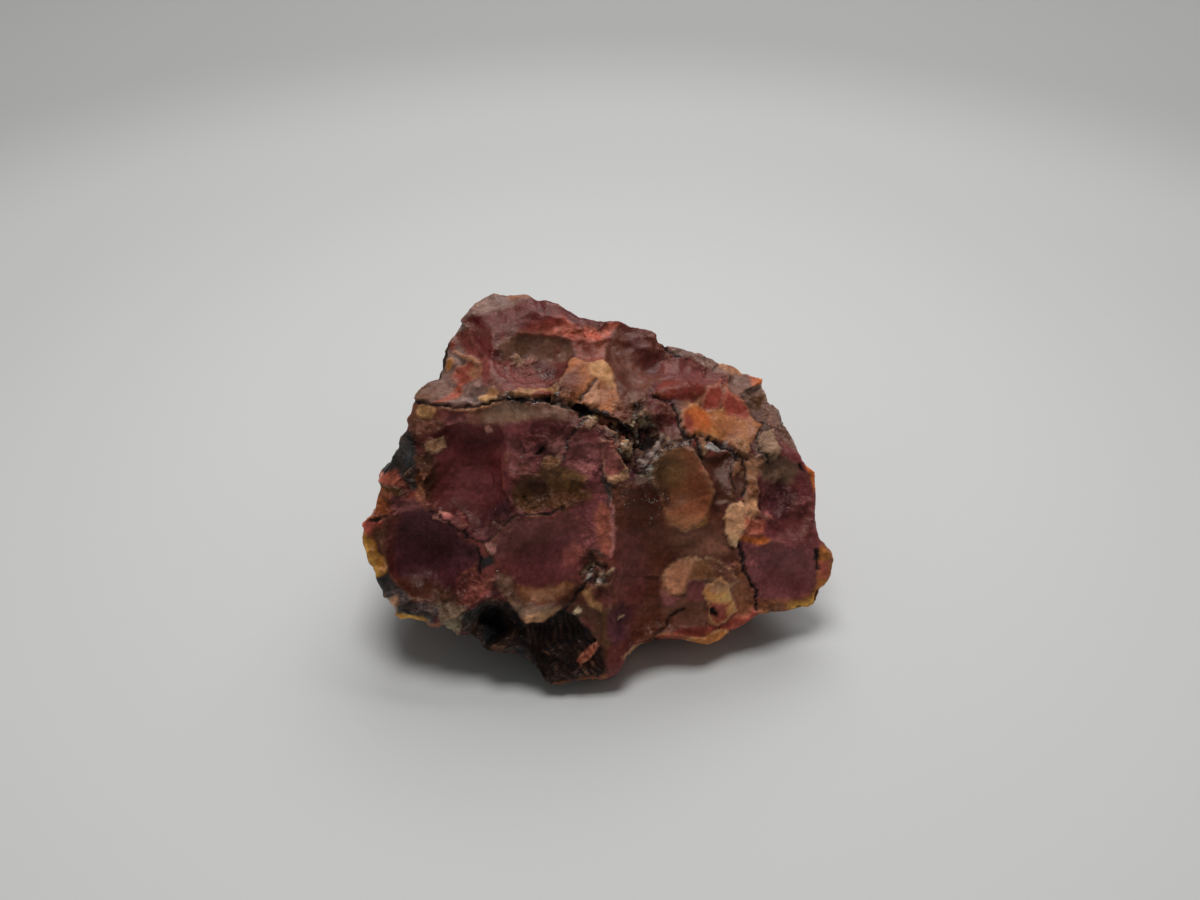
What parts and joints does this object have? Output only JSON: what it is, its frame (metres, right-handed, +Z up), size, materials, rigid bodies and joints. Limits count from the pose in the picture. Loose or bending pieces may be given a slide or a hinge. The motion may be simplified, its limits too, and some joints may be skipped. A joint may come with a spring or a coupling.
{
  "type": "petrified wood chunk",
  "caption": "Fist-sized free-standing chunk of flaked red, brown and ochre petrified wood that rests on a small flat spot.",
  "frame": {"origin": "under the middle of the chunk's bounding box, on the surface it rests on", "axes": "+Z up, +X to the right and -Y towards the viewer of the broad broken face, along the chunk's width"},
  "size_m": [0.1026, 0.079, 0.0533],
  "materials": {
    "petrified_wood": "waxy broken stone, maroon with orange, ochre, olive and black patches"
  },
  "bodies": {
    "root": {"petrified_wood": "petrified_wood"}
  },
  "joints": []
}
